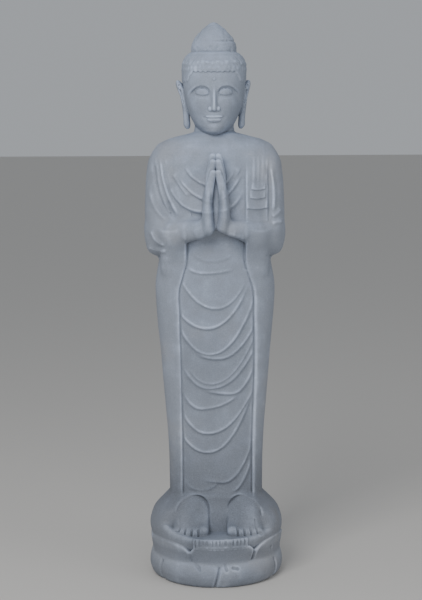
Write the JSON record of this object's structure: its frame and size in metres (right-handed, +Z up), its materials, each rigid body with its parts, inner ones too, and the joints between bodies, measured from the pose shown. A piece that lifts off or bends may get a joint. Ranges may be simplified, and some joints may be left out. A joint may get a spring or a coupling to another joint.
{
  "type": "standing buddha statue",
  "caption": "Tall carved stone figure with joined palms in a long draped robe, standing barefoot on a round lotus petal base.",
  "frame": {"origin": "centre of the flat underside of the round base", "axes": "+Z up the figure, the figure faces -Y, +X towards its left hand side"},
  "size_m": [0.3798, 0.3664, 1.5],
  "materials": {
    "stone": "matt grey carved stone, dusty on the ridges and darker in the cuts"
  },
  "bodies": {
    "root": {"standing_buddha": "stone"}
  },
  "joints": []
}
